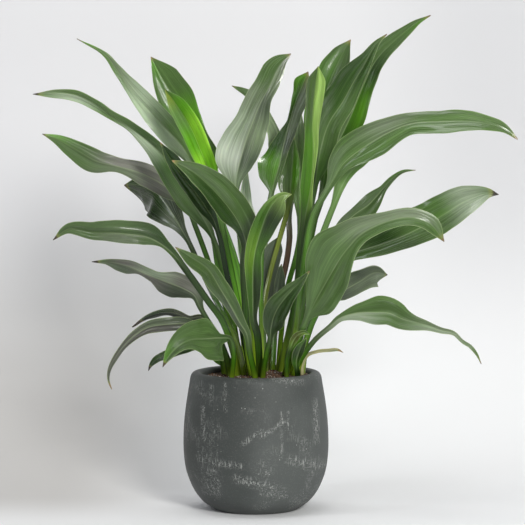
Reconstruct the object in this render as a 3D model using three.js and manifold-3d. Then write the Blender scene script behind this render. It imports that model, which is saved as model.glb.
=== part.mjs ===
// Potted cast iron plant: a cast planter, its soil, and leaves that each rise from the soil on a stalk.
// Millimetres, +Z up. The origin is the middle of the planter's flat base, and the front faces -Y.

import * as THREE from 'three'
import { mergeVertices } from 'three/addons/utils/BufferGeometryUtils.js'
import Module from 'manifold-3d'

const wasm = await Module()
wasm.setup()

// Planter
const potHeight = 178.5
const baseRadius = 50
const bellyRadius = 94
const rimOuterRadius = 84.2
const rimInnerRadius = 70
const wall = 13
const potSides = 40

// Soil
const soilGap = 0.3
const soilEdgeHeight = 170
const moundHeight = 6.5
const moundCentre = [20, 12]
const moundSpread = 52
const soilSides = 22
const surfaceRings = [0.99, 0.75, 0.45, 0.15]
const flatSideShrink = 0.985

// Leaves: where they meet the soil
const rootLevel = 174
const rootDepth = 11
const footSlant = 0.6
const holeTop = 182
const holeGap = 0.4

// Leaves: their cross-section. A stalk's sizes are shares of its half width.
const stalkRings = 6
const bladeRings = 15
const stalkHalfWidth = 3.4
const stalkThickness = 0.95
const stalkCrown = 0.3
const bladeEdgeThickness = 0.7
const midribTop = 0.35
const midribKeel = 1
const keelAtTip = 0.6
const tipHalfWidth = 1
const blendBefore = 0.08
const blendAfter = 0.12
const leftWave = { turns: 3, start: 0 }
const rightWave = { turns: 2.7, start: 0.32 }

// Leaf routes are drawn as seen from the front, by this eye, on the plane through the planter's axis.
// Each point is [across, up, depth]: the depth moves it back or forward along the line of sight,
// and depthReach carries it further away from the root than drawn.
const eye = new THREE.Vector3(8, -3400, 584)
const depthReach = 1.8

const potColour = 0x545857
const soilColour = 0x3a2a22
const leafColours = { deep: 0x3f5f34, young: 0x76a01f, grey: 0x5d6b58, dry: 0x8d9668 }

// root: where the stalk stands in the soil, [x, y]
// stalk: half width of the stalk, where it isn't the usual one
// run: points of the midrib, from above the soil up to the tip
// blade: share of the run where the blade begins
// left, right: widths of the two halves as seen, from stalk to tip; right is as left where it isn't given
// roll: turn of the blade about its midrib, from stalk to tip, in degrees
// fold: how far the two halves rise towards the eye, in degrees
// wave: height of the waves along the edges
const leaves = {
  leaf_01: {
    root: [-6, 40], stalk: 4.6, blade: 0.55, fold: 18, wave: 1.5,
    left: [17, 16, 10, 6, 3], right: [14, 18, 16, 9, 3], roll: [10, 20, 20],
    run: [[-19, 260, 44], [-32, 330, 48], [-61, 400, 52], [-90, 463, 56], [-112, 489, 58],
      [-135, 514, 60], [-152, 532, 62], [-168, 553, 64], [-180, 570, 65], [-194, 588, 66],
      [-230, 608, 66]]
  },
  leaf_02: {
    root: [-2, 52], blade: 0.58, fold: 14, wave: 1.5,
    left: [16, 25, 27, 24, 14], right: [18, 13, 18, 26, 23], roll: [0, 10, 10],
    run: [[-8, 250, 58], [-28, 330, 64], [-43, 372, 68], [-54, 410, 73], [-64, 460, 76], [-80, 494, 80],
      [-99, 525, 82], [-116, 550, 83], [-135, 585, 84]]
  },
  leaf_03: {
    root: [-12, 24], blade: 0.6, fold: 48, wave: 0, colour: 'young',
    left: [15, 19, 21, 21, 17], roll: [0, 0, 0],
    run: [[-22, 260, 22], [-38, 340, 20], [-50, 400, 18], [-62, 443, 16], [-73, 469, 16],
      [-82, 490, 17], [-92, 508, 18], [-103, 525, 20], [-117, 543, 22]]
  },
  leaf_04: {
    root: [-18, 8], blade: 0.38, fold: 16, wave: 1.5,
    left: [14, 20, 20, 16, 9, 5, 6, 8, 8], right: [12, 12, 8, 7, 6], roll: [45, 40, 45, 20],
    run: [[-34, 269, 4], [-56, 353.5, 0], [-94, 417.5, -4], [-121, 459.5, -8], [-138, 475.5, -10],
      [-164, 495, -12], [-190, 512, -14], [-205, 523, -16], [-229, 535, -17], [-255, 539, -18],
      [-287, 537, -20]]
  },
  leaf_05: {
    root: [-6, -13], stalk: 4.6, blade: 0.44, fold: 14, wave: 1,
    left: [6, 8, 17, 15, 11], right: [14, 23, 25, 22, 14], roll: [-20, -30, -30],
    run: [[-12, 225, -20], [-14, 271, -26], [-16, 320, -36], [-13, 343, -42], [-23, 372, -52],
      [-49, 408, -62], [-80, 436, -70], [-108, 452, -74]]
  },
  leaf_06: {
    root: [-20, 18], blade: 0.52, fold: -14, wave: 1.5, colour: 'grey',
    left: [15, 15, 8, 18, 12], right: [16, 16, 12, 15, 10], roll: [0, 10, 0],
    run: [[-38, 258, 22], [-55, 304, 24], [-79, 369, 24], [-90, 395, 24], [-116, 418, 24],
      [-150, 436, 24], [-186, 446, 22], [-205, 451, 20], [-232, 466, 18], [-255, 479, 16],
      [-275, 486, 14]]
  },
  leaf_07: {
    root: [-15, -4], blade: 0.62, fold: -10, wave: 1, colour: 'grey',
    left: [7, 12, 19, 25, 30, 32, 34, 33, 20], right: [8, 15, 26, 20, 11], roll: [15, 25, 25],
    run: [[-22, 209, -4], [-36, 242, -4], [-52, 271, 8], [-66, 300, 32], [-86, 345, 44], [-96, 363, 48],
      [-105, 379, 52], [-118, 398, 58], [-131, 413, 64], [-150, 420, 72], [-170, 420, 80]]
  },
  leaf_08: {
    root: [-25, -6], stalk: 4.2, blade: 0.53, fold: 10, wave: 2,
    left: [3, 11, 12, 10, 7], right: [9, 18, 17, 15, 9], roll: [0, 20, 0],
    run: [[-30, 206, -22], [-44, 245, -32], [-62, 270, -38], [-86, 304, -44], [-109, 333, -52],
      [-138, 352, -58], [-170, 357, -62], [-209, 359, -64], [-242, 363, -66], [-262, 349, -66]]
  },
  leaf_09: {
    root: [-1, -29], stalk: 3.8, blade: 0.27, fold: 12, wave: 1,
    left: [5, 6, 9, 13, 12], right: [7, 11, 13, 11, 7], roll: [-20, -30, -30],
    run: [[-8, 203, -40], [-12, 227, -48], [-21, 242, -54], [-34, 265, -62], [-47, 287, -70],
      [-62, 311, -76], [-86, 328, -82], [-104, 340, -84]]
  },
  leaf_10: {
    root: [-35, 9], blade: 0.38, fold: -12, wave: 1.5, colour: 'grey',
    left: [4, 11, 17, 15, 7, 5, 10, 9, 3], right: [16, 18, 8, 9, 5], roll: [15, 25, 25],
    run: [[-43.5, 205, 10], [-52, 228, 10], [-64, 247.5, 8], [-73, 263.5, 6], [-80, 277.5, 4],
      [-94, 286, 2], [-117, 295, -2], [-142, 305, -6], [-165, 315, -10], [-187, 320, -12],
      [-212, 321, -14]]
  },
  leaf_11: {
    root: [-30, 26], blade: 0.4, fold: 8, wave: 0.5,
    left: [5.5, 6.5, 6.5, 5.5, 3.6], right: [3, 4, 4, 3, 2], roll: [60, 62, 64],
    run: [[-40, 204, 30], [-49, 225, 34], [-70, 249, 40], [-86, 248, 44], [-112, 256, 48],
      [-138, 251, 50], [-160, 236, 52]]
  },
  leaf_12: {
    root: [-34, -2], blade: 0.35, fold: -10, wave: 0.5, colour: 'grey',
    left: [9, 9, 6, 4, 2.5], roll: [20, 30, 20],
    run: [[-42, 205, -4], [-56, 226, -8], [-82, 240, -12], [-109, 240, -16], [-138, 236, -18],
      [-153, 228, -20], [-170, 213, -22], [-183, 195, -24], [-190, 180, -25], [-191, 167, -26],
      [-187, 155, -27]]
  },
  leaf_13: {
    root: [-31, -18], blade: 0.36, fold: 10, wave: 1,
    left: [8, 30, 27, 12, 6], right: [6, 26, 24, 16, 8], roll: [-25, -35, -35],
    run: [[-29, 203, -30], [-33, 220, -36], [-46, 222, -44], [-66, 221, -56], [-86, 219, -64],
      [-101, 211, -70], [-113, 198, -74], [-121, 184, -76]]
  },
  leaf_14: {
    root: [-42, 26], blade: 0.4, fold: 8, wave: 0.5,
    left: [5, 7, 7, 5.5, 4], roll: [-20, -25, -25],
    run: [[-48, 204, 26], [-73, 211, 22], [-99, 207, 16], [-118, 199, 12], [-129, 194, 10],
      [-136, 187, 9], [-139.5, 179, 8]]
  },
  leaf_15: {
    root: [-33, 38], blade: 0.2, fold: 8, wave: 0.5,
    left: [8, 10, 11, 11, 8], right: [6, 7, 7, 7, 6], roll: [-15, -20, -20],
    run: [[-37, 190, 40], [-48, 200, 42], [-60, 206, 44]]
  },
  leaf_16: {
    root: [2, 18], stalk: 4.4, blade: 0.57, fold: 18, wave: 1,
    left: [36, 31, 22, 21, 20], right: [20, 24, 22, 11, 11], roll: [-15, -22, -22],
    run: [[-10, 284, 8], [-21, 362, 2], [-26, 422, 0], [-22, 447, 0], [-14, 476, 0], [-5, 501, 0],
      [5, 525, 0], [18, 549, 2], [31, 575, 4], [45, 589, 6]]
  },
  leaf_17: {
    root: [6, 47], blade: 0.62, fold: 12, wave: 1,
    left: [8, 14, 13, 9, 3], right: [5, 4, 3, 6, 9], roll: [-20, -25, -25],
    run: [[8, 271, 56], [16, 388, 64], [26, 440, 68], [29, 466, 70], [27, 490, 72], [14, 512, 76],
      [-4, 530, 79], [-20, 541, 81], [-31, 548, 82]]
  },
  leaf_18: {
    root: [8, 6], blade: 0.6, fold: 16, wave: 1,
    left: [32, 32, 22, 16, 9, 4, 5, 8, 13], right: [6, 8, 12, 14, 17], roll: [12, 20, 20],
    run: [[8, 336, 19], [16, 390, 23], [22, 417, 25], [30, 446, 26], [39, 486, 27], [50, 524, 27],
      [60, 549, 26], [67, 566, 25]]
  },
  leaf_19: {
    root: [32, 18], stalk: 5.4, blade: 0.5, fold: 38, wave: 0, colour: 'young',
    left: [10, 15, 18, 17, 15, 13, 12, 14, 15],
    right: [8, 5, 3, 5, 8, 10, 13, 15, 15], roll: [0, 0, 0],
    run: [[52, 271, 14], [61, 362, 9], [68, 401, 6], [72, 427, 4], [74, 466, 2], [73, 496, 2],
      [74, 520, 3], [77, 546, 4], [80, 573, 5]]
  },
  leaf_20: {
    root: [41, 43], blade: 0.55, fold: 14, wave: 1,
    left: [10, 14, 17, 20, 23, 23, 23, 22, 15], right: [10, 14, 16, 17, 15], roll: [18, 25, 25],
    run: [[56, 290, 62], [73, 401, 76], [81, 499, 88], [90, 538, 92], [102, 568, 94], [112, 590, 96],
      [121.5, 607, 98]]
  },
  leaf_21: {
    root: [41, 28], stalk: 4.6, blade: 0.54, fold: 16, wave: 1,
    left: [14, 24, 28, 24, 9], right: [20, 19, 16, 12, 7], roll: [18, 25, 25],
    run: [[57, 310, 34], [68, 381, 36], [77, 427, 38], [83, 464, 38], [93, 498, 38], [112, 527, 38],
      [125, 551, 37], [138, 573, 36], [155, 602, 34], [168, 614, 32]]
  },
  leaf_22: {
    root: [30, 37], stalk: 4.6, blade: 0.5, fold: 16, wave: 1.5,
    left: [16, 18, 20, 16, 9], right: [18, 20, 14, 12, 8], roll: [18, 25, 25],
    run: [[58, 284, 50], [72.5, 362, 56], [76.5, 380, 57], [84.5, 403, 58], [88, 430, 60],
      [95, 456, 62], [108, 479, 62], [122, 508, 62], [130, 528, 62], [140, 552, 61], [150, 573, 60],
      [161, 588, 58], [178, 605, 56], [194, 619, 54], [207, 629, 52], [224, 638, 49]]
  },
  leaf_23: {
    root: [45, 4], stalk: 4.4, blade: 0.48, fold: 12, wave: 2,
    left: [20, 27, 25, 19, 15, 15, 14.5, 12, 9], right: [13, 22, 13.5, 16, 9], roll: [20, 30, 30],
    run: [[63, 323, -6], [74, 382, -8], [86, 404, -9], [100, 427, -10], [112, 447, -12],
      [135, 466, -15], [168, 486, -20], [200, 499, -24], [239, 502, -28], [278, 502, -31],
      [317, 493, -33], [337, 479, -33]]
  },
  leaf_24: {
    root: [51, 19], stalk: 4, blade: 0.64, fold: 12, wave: 1,
    left: [10, 14, 15, 12, 7], right: [4, 6, 7, 6, 5], roll: [20, 28, 28],
    run: [[66, 300, 20], [74, 323, 20], [78, 336, 21], [86, 357, 22], [94, 378, 22], [107.5, 411, 22],
      [116, 429, 22], [127, 443, 20], [147, 459, 18], [168, 472, 16], [188, 481, 14]]
  },
  leaf_25: {
    root: [61, 20], blade: 0.55, fold: 12, wave: 0.5,
    left: [8, 9, 12, 5, 3], right: [24, 22, 13, 5, 3], roll: [18, 25, 25],
    run: [[73, 272, 34], [90, 324, 38], [108, 363.5, 42], [128, 382.5, 44], [145, 394.5, 45],
      [159, 409.5, 46], [176, 428.5, 47], [189, 437.5, 47], [206, 439.5, 48]]
  },
  leaf_26: {
    root: [52, -2], stalk: 4, blade: 0.4, fold: 12, wave: 1.5,
    left: [12, 22, 30, 27, 20], right: [10, 15, 18, 22, 17], roll: [20, 32, 32],
    run: [[72, 240, -6], [78, 253, -7], [83, 268, -8], [88, 284, -10], [103, 318, -16], [129, 333, -22],
      [161, 343, -28], [194, 356, -34], [226, 372, -38], [246, 384, -40], [272, 400, -42],
      [298, 409, -43], [313, 408, -44]]
  },
  leaf_27: {
    root: [37, -17], stalk: 4.2, blade: 0.29, fold: 12, wave: 1,
    left: [12, 24, 39, 43, 31, 20, 13, 12.5, 12],
    right: [26, 27, 27, 20, 11, 10, 10, 9.5, 9], roll: [15, 22, 22],
    run: [[61, 235, -40], [69, 254, -48], [78, 272, -56], [87, 288, -62], [98, 307, -70],
      [111, 328, -78], [121, 341, -82], [133, 354, -86], [151, 365, -90], [174, 374, -92],
      [200, 378, -93], [224, 370, -93], [243, 347, -91]]
  },
  leaf_28: {
    root: [57, 11], blade: 0.5, fold: -12, wave: 1.5, colour: 'grey',
    left: [10, 14, 15, 14, 10], right: [3, 11, 14, 14, 19], roll: [-15, -25, -25],
    run: [[69, 233, 8], [75, 249, 6], [85, 266, 4], [99, 274, 2], [116, 285, 1], [135, 296, 0],
      [155, 307, 0], [170, 304, 0]]
  },
  leaf_29: {
    root: [47, -10], blade: 0.24, fold: 12, wave: 0.5,
    left: [3, 5, 13, 22, 18, 8, 4, 2.5, 2],
    right: [4, 5, 10, 15.5, 14, 10, 5, 2.5, 2.5], roll: [20, 30, 30],
    run: [[60, 197, -18], [76, 219, -28], [97, 238, -38], [109, 248, -42], [129, 254, -46],
      [151, 255, -50], [172, 254, -54], [191, 246, -57], [220, 239, -60], [240, 232, -62],
      [256, 228, -63], [267, 218, -64], [278, 211, -65], [286, 201, -65.5], [292, 188, -66]]
  },
  leaf_30: {
    root: [60, 1], stalk: 2.2, blade: 0.2, fold: 20, wave: 0, colour: 'dry',
    left: [2.4, 2.4, 2.4, 2.4, 2.4], roll: [0, 0, 0],
    run: [[61, 189.5, 3], [67, 199.5, 2], [80, 204.5, -2], [95, 206, -6], [106, 206.5, -8],
      [113, 203, -8]]
  },
  leaf_31: {
    root: [5, -18], stalk: 4.6, blade: 0.34, fold: 22, wave: 0.5, colour: 'young',
    left: [7, 10, 13, 14, 10], right: [10, 12, 10, 17, 21], roll: [-10, -15, -20],
    run: [[2, 225, -34], [-3, 245, -40], [-4, 271, -48], [-4, 297, -56], [-3, 321, -62], [1, 343, -67],
      [7, 363, -71], [14, 382, -74], [23, 397, -76], [34, 407, -76], [46, 408, -75]]
  },
  leaf_32: {
    root: [9, -28], blade: 0.42, fold: 14, wave: 1,
    left: [11, 16, 15, 11, 6], roll: [20, 30, 30],
    run: [[14, 203, -42], [18, 219, -50], [20, 237, -58], [27, 258, -66], [38, 274, -70],
      [53, 290, -74], [69, 309, -76]]
  },
  leaf_33: {
    root: [12, 34], blade: 0.4, fold: -10, wave: 0.5, colour: 'grey',
    left: [8, 11, 14, 16, 14], right: [8, 10, 9, 10, 10], roll: [-10, -15, -15],
    run: [[10, 245, 40], [14, 284, 42], [20, 315, 43], [26, 340, 44], [30, 354, 45]]
  },
  leaf_34: {
    root: [22, 43], blade: 0.4, fold: -10, wave: 0.5, colour: 'grey',
    left: [7, 10, 12, 11, 7], roll: [10, 15, 15],
    run: [[24, 225, 50], [23, 262, 54], [28, 290, 58], [33, 318, 60]]
  },
  leaf_35: {
    root: [-8, 13], blade: 0.6, fold: 30, wave: 0.5,
    left: [9, 12, 12, 11, 8], right: [8, 12, 14, 14, 11], roll: [20, 20, 20],
    run: [[-20, 240, 4], [-34, 289, 0], [-41, 322, -8], [-46, 349, -14], [-55, 376, -22],
      [-64, 390, -26], [-76, 408, -32], [-91, 427, -36], [-105, 447, -40], [-123, 475, -44]]
  },
  leaf_36: {
    root: [14, 20], blade: 0.71, fold: 14, wave: 0.5,
    left: [14, 18, 16, 13, 9], right: [6, 9, 10, 9, 5], roll: [10, 15, 15],
    run: [[8, 212, 22], [9, 252, 26], [18, 304, 32], [30, 349, 36], [43, 397, 38], [45, 420, 40],
      [47, 445, 42], [49, 482, 44]]
  },
  leaf_37: {
    root: [29, 50], blade: 0.6, fold: 14, wave: 1,
    left: [9, 13, 13, 10, 6], roll: [-12, -18, -18],
    run: [[37.5, 271, 62], [43.1, 297, 64], [47, 310, 65], [53.5, 336, 67], [56.5, 356, 68],
      [55.5, 395, 72], [56, 420, 74], [57, 447, 76], [57, 479, 78], [57, 518, 80]]
  },
  leaf_38: {
    root: [54, -29], blade: 0.35, fold: 20, wave: 0,
    left: [6, 7, 8, 7, 4], right: [4, 5, 6, 6, 4], roll: [0, 0, 0],
    run: [[52.5, 192, -35], [57.5, 208, -40], [65.5, 222, -43]]
  },
  leaf_39: {
    root: [-14, 60], blade: 0.5, fold: 14, wave: 1.5,
    left: [10, 12, 12, 10, 6], right: [12, 16, 15, 8, 5], roll: [-15, -20, -20],
    run: [[-17, 240, 82], [-14, 300, 88], [-13, 350, 92], [-13, 400, 95], [-12, 445, 97]]
  },
  leaf_40: {
    root: [18, 56], stalk: 3.9, blade: 0.66, fold: 14, wave: 1.5,
    left: [8, 12, 12, 10, 6], roll: [15, 20, 20],
    run: [[31.5, 280, 76], [34, 297, 80], [37.5, 311, 82], [41, 330, 84], [43.5, 354, 88],
      [42.5, 381, 92], [50, 420, 98], [62, 460, 106], [80, 500, 114]]
  },
  leaf_41: {
    root: [51, 34], blade: 0.5, fold: 14, wave: 1.5,
    left: [12, 18, 20, 17, 10], roll: [20, 28, 28],
    run: [[70, 270, 60], [100, 320, 82], [135, 345, 100], [180, 350, 118]]
  },
  leaf_42: {
    root: [-22, 46], blade: 0.66, fold: 14, wave: 1.5,
    left: [8, 12, 13, 11, 7], roll: [-18, -25, -25],
    run: [[-40, 280, 60], [-50, 318, 66], [-54, 345, 72], [-62, 372, 82], [-88, 405, 94],
      [-125, 425, 106], [-158, 435, 115]]
  },
  leaf_43: {
    root: [40, -30], stalk: 3, blade: 0.6, fold: 20, wave: 0, colour: 'young',
    left: [4, 5, 5, 4, 3], roll: [0, 0, 0],
    run: [[40.5, 196, -36], [45.5, 212, -42], [53.5, 225, -46], [61.5, 229, -47], [69.5, 227, -47]]
  }
}

const radians = degrees => degrees * Math.PI / 180
const mix = THREE.MathUtils.lerp

// A closed skin over a stack of rings that all have the same number of points, with a flat cap at each end
function skinRings(rings, mirrorFrom = Infinity) {
  const count = rings[0].length
  const positions = rings.flat().flatMap(p => [p.x, p.y, p.z])
  const faces = []
  for (let i = 0; i < rings.length - 1; i++) {
    for (let j = 0; j < count; j++) {
      const k = (j + 1) % count
      const [a, b, c, d] = [i * count + j, i * count + k, (i + 1) * count + k, (i + 1) * count + j]
      if (j < mirrorFrom) faces.push(a, b, c, a, c, d)
      else faces.push(a, b, d, b, c, d)
    }
  }
  const last = (rings.length - 1) * count
  for (let j = 1; j < count - 1; j++) {
    faces.push(0, j + 1, j)
    faces.push(last, last + j, last + j + 1)
  }
  const geometry = new THREE.BufferGeometry()
  geometry.setAttribute('position', new THREE.Float32BufferAttribute(positions, 3))
  geometry.setIndex(faces)
  return geometry
}

function toSolid(geometry) {
  const bare = geometry.clone()
  bare.deleteAttribute('normal')
  bare.deleteAttribute('uv')
  const merged = mergeVertices(bare, 1e-4)
  return new wasm.Manifold(new wasm.Mesh({
    numProp: 3,
    vertProperties: new Float32Array(merged.attributes.position.array),
    triVerts: new Uint32Array(merged.index.array)
  }))
}

function toGeometry(solid) {
  const mesh = solid.getMesh()
  const geometry = new THREE.BufferGeometry()
  geometry.setAttribute('position', new THREE.Float32BufferAttribute(mesh.vertProperties, 3))
  geometry.setIndex(new THREE.Uint32BufferAttribute(mesh.triVerts, 1))
  return geometry
}

function named(name, geometry, color, roughness) {
  geometry.computeVertexNormals()
  const mesh = new THREE.Mesh(geometry, new THREE.MeshStandardMaterial({ color, roughness, metalness: 0 }))
  mesh.name = name
  return mesh
}

// Reads a short list of values as a smooth line, with share running from 0 to 1
function along(values, share) {
  const curve = new THREE.CatmullRomCurve3(values.map((v, i) => new THREE.Vector3(i, v, 0)))
  return curve.getPoint(THREE.MathUtils.clamp(share, 0, 1)).y
}

function fromFront(across, up, depth) {
  const seen = new THREE.Vector3(across, 0, up)
  return seen.sub(eye).multiplyScalar(1 + depth / -eye.y).add(eye)
}

function leafCurve(leaf) {
  const [x, y] = leaf.root
  const collar = new THREE.Vector3(x, y, rootLevel)
  const above = leaf.run.map(([across, up, depth]) => fromFront(across, up, mix(y, depth, depthReach)))
  const rise = above[0].clone().sub(collar)
  const foot = new THREE.Vector3(-rise.x * footSlant, -rise.y * footSlant, -rise.z)
  foot.multiplyScalar(rootDepth / rise.z).add(collar)
  return new THREE.CatmullRomCurve3([foot, collar, ...above], false, 'centripetal')
}

// One cross-section of a leaf: upper face left, middle and right, then lower face right, middle and left
function leafRing(leaf, curve, share, grow = 0) {
  const point = curve.getPointAt(share)
  const tangent = curve.getTangentAt(share)
  const toEye = eye.clone().sub(point).normalize()
  const right = tangent.clone().cross(toEye).normalize()
  const face = right.clone().cross(tangent).normalize()
  const bladeShare = THREE.MathUtils.clamp((share - leaf.blade) / (1 - leaf.blade), 0, 1)
  const roll = radians(along([0, ...leaf.roll], bladeShare))
  const side = right.clone().multiplyScalar(Math.cos(roll)).addScaledVector(face, Math.sin(roll))
  const up = face.clone().multiplyScalar(Math.cos(roll)).addScaledVector(right, -Math.sin(roll))

  const flat = THREE.MathUtils.smoothstep(share, leaf.blade - blendBefore, leaf.blade + blendAfter)
  const stalk = leaf.stalk ?? stalkHalfWidth
  const fold = radians(leaf.fold) * flat
  const halfWidth = (list, sign) => {
    const seen = mix(stalk, along([stalk, ...list, tipHalfWidth], bladeShare), flat)
    return seen * Math.cos(fold) / Math.cos(fold + sign * roll) + grow
  }
  const leftWidth = halfWidth(leaf.left, -1)
  const rightWidth = halfWidth(leaf.right ?? leaf.left, 1)
  const edge = mix(stalk * stalkThickness, bladeEdgeThickness, flat) / 2 + grow
  const top = mix(stalk * stalkCrown, midribTop, flat) + grow
  const keel = mix(stalk * stalkThickness, midribKeel * mix(1, keelAtTip, bladeShare), flat) + grow
  const height = Math.sin(Math.PI * bladeShare) * leaf.wave
  const waves = [leftWave, rightWave].map(({ turns, start }) =>
    Math.sin(2 * Math.PI * (bladeShare * turns + start)) * height)

  const edgePoint = (sign, width, wave, thickness) => point.clone()
    .addScaledVector(side, sign * width * Math.cos(fold))
    .addScaledVector(up, width * Math.sin(fold) + wave + thickness)
  return [
    edgePoint(-1, leftWidth, waves[0], edge),
    point.clone().addScaledVector(up, top),
    edgePoint(1, rightWidth, waves[1], edge),
    edgePoint(1, rightWidth, waves[1], -edge),
    point.clone().addScaledVector(up, -keel),
    edgePoint(-1, leftWidth, waves[0], -edge)
  ]
}

function leafShares(leaf) {
  const stalk = Array.from({ length: stalkRings }, (_, i) => leaf.blade * i / stalkRings)
  const blade = Array.from({ length: bladeRings + 1 }, (_, i) => mix(leaf.blade, 1, i / bladeRings))
  return [...stalk, ...blade]
}

function leafGeometry(leaf) {
  const curve = leafCurve(leaf)
  return skinRings(leafShares(leaf).map(share => leafRing(leaf, curve, share)), 3)
}

// The planter is turned on its axis: up the outside, over the round lip and down the inside
const outside = [[baseRadius, 0], [58, 2.5], [68, 9.5], [78, 21], [86, 36.5], [91.5, 54],
  [bellyRadius, 76], [bellyRadius, 97], [92.6, 119], [90, 141], [86.6, 162], [rimOuterRadius, 174]]
const lip = [[81.6, 177.3], [78, potHeight], [74, potHeight], [71.4, 177.2], [rimInnerRadius, 174]]
const inside = [[71, 166], [75, 145], [79, 119], [bellyRadius - wall, 97], [bellyRadius - wall, 76],
  [78, 54], [72, 37], [62, 24], [48, 16], [30, wall]]

function potGeometry() {
  const profile = [[0, 0], ...outside, ...lip, ...inside, [0, wall]]
  const lathe = new THREE.LatheGeometry(profile.map(([r, z]) => new THREE.Vector2(r, z)), potSides)
  return lathe.rotateX(Math.PI / 2)
}

function soilHeight(x, y) {
  const distance = Math.hypot(x - moundCentre[0], y - moundCentre[1]) / moundSpread
  return soilEdgeHeight + moundHeight * Math.exp(-distance * distance)
}

function ringOf(radius, height) {
  return Array.from({ length: soilSides }, (_, i) => {
    const angle = 2 * Math.PI * i / soilSides
    const [x, y] = [radius * Math.cos(angle), radius * Math.sin(angle)]
    return new THREE.Vector3(x, y, height ?? soilHeight(x, y))
  })
}

// The soil fills the planter and has a plain hole for each stalk. Its rings are a little smaller than
// the planter's inside, because both are turned in flats.
function soilGeometry() {
  const side = inside.slice(1).reverse()
    .map(([radius, height]) => ringOf((radius - soilGap) * flatSideShrink, height + soilGap * 2))
  const surface = surfaceRings.map(share => ringOf((rimInnerRadius - soilGap) * share))
  let soil = toSolid(skinRings([...side, ...surface]))
  for (const leaf of Object.values(leaves)) {
    const curve = leafCurve(leaf)
    const shares = leafShares(leaf)
    const above = shares.findIndex(share => curve.getPointAt(share).z > holeTop)
    const rings = shares.slice(0, above + 1).map(share => leafRing(leaf, curve, share, holeGap))
    const sink = new THREE.Vector3(0, 0, -holeGap)
    rings.unshift(rings[0].map(p => p.clone().add(sink)))
    soil = soil.subtract(toSolid(skinRings(rings, 3)))
  }
  return toGeometry(soil)
}

const plant = new THREE.Group()
for (const [name, leaf] of Object.entries(leaves)) {
  plant.add(named(name, leafGeometry(leaf), leafColours[leaf.colour ?? 'deep'], 0.4))
}

const group = new THREE.Group()
group.add(named('pot', potGeometry(), potColour, 0.75))
group.add(named('soil', soilGeometry(), soilColour, 0.95))
group.add(plant)

export default group
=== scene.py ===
# Potted cast iron plant: strap leaves on slender stalks in a cast fiberclay planter.
# Lengths in the tables are millimetres, and meshes are written in metres.
import math

import bpy
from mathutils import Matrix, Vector, noise


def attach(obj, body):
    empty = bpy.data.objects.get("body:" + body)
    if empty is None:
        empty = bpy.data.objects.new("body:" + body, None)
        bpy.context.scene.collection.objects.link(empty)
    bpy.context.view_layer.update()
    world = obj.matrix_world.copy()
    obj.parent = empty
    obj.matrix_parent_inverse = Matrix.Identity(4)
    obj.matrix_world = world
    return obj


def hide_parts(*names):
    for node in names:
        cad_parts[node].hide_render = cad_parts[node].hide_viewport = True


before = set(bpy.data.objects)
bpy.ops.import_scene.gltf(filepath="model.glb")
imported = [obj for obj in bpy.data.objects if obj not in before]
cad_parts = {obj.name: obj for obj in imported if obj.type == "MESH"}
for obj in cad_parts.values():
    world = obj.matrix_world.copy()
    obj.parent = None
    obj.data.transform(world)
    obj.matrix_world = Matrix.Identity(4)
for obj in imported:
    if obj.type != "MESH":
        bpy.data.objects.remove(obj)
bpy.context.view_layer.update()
print("frame loaded:", len(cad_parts), "nodes")

mm = 0.001


def mix(a, b, t):
    return a + (b - a) * t


def smoothStep(x, low, high):
    t = min(max((x - low) / (high - low), 0), 1)
    return t * t * (3 - 2 * t)


def linearColour(hexText):
    # an sRGB hex colour as the linear colour that Blender's sockets take
    values = [int(hexText[i:i + 2], 16) / 255 for i in (1, 3, 5)]
    return [v / 12.92 if v <= 0.04045 else ((v + 0.055) / 1.055) ** 2.4 for v in values] + [1.0]


def setInputs(tree, node, inputs):
    # an input is a value, or another node's output to link
    for key, value in inputs.items():
        if isinstance(value, bpy.types.NodeSocket):
            tree.links.new(value, node.inputs[key])
        else:
            node.inputs[key].default_value = value


def addNode(tree, kind, inputs=None, **settings):
    node = tree.nodes.new(kind)
    for key, value in settings.items():
        setattr(node, key, value)
    setInputs(tree, node, inputs or {})
    return node


def mathOut(tree, operation, *values, clamp=False):
    node = addNode(tree, "ShaderNodeMath", dict(enumerate(values)), operation=operation, use_clamp=clamp)
    return node.outputs[0]


def timesOut(tree, a, b):
    return mathOut(tree, "MULTIPLY", a, b)


def vectorOut(tree, operation, inputs):
    node = addNode(tree, "ShaderNodeVectorMath", inputs, operation=operation)
    return node.outputs["Value" if operation in ("DOT_PRODUCT", "DISTANCE") else "Vector"]


def mixOut(tree, factor, a, b):
    # Mix node in colour mode: its factor, A and B are sockets 0, 6 and 7, and its colour comes out of 2
    inputs = {0: factor, 6: linearColour(a) if isinstance(a, str) else a,
              7: linearColour(b) if isinstance(b, str) else b}
    return addNode(tree, "ShaderNodeMix", inputs, data_type="RGBA").outputs[2]


def rangeOut(tree, value, low, high, toLow=0.0, toHigh=1.0):
    inputs = {"Value": value, "From Min": low, "From Max": high, "To Min": toLow, "To Max": toHigh}
    return addNode(tree, "ShaderNodeMapRange", inputs, interpolation_type="SMOOTHSTEP").outputs[0]


def noiseOut(tree, vector, scale, detail=3.0, roughness=0.5, distortion=0.0):
    inputs = {"Vector": vector, "Scale": scale, "Detail": detail, "Roughness": roughness,
              "Distortion": distortion}
    return addNode(tree, "ShaderNodeTexNoise", inputs).outputs["Fac"]


def drawnOut(tree, vector, scale):
    # noise with a scale of its own along each axis
    spread = addNode(tree, "ShaderNodeMapping", {"Vector": vector, "Scale": scale}).outputs[0]
    return noiseOut(tree, spread, 1.0, detail=2.0)


def bumpOut(tree, height, strength, distance):
    inputs = {"Height": height, "Strength": strength, "Distance": distance}
    return addNode(tree, "ShaderNodeBump", inputs).outputs[0]


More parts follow.
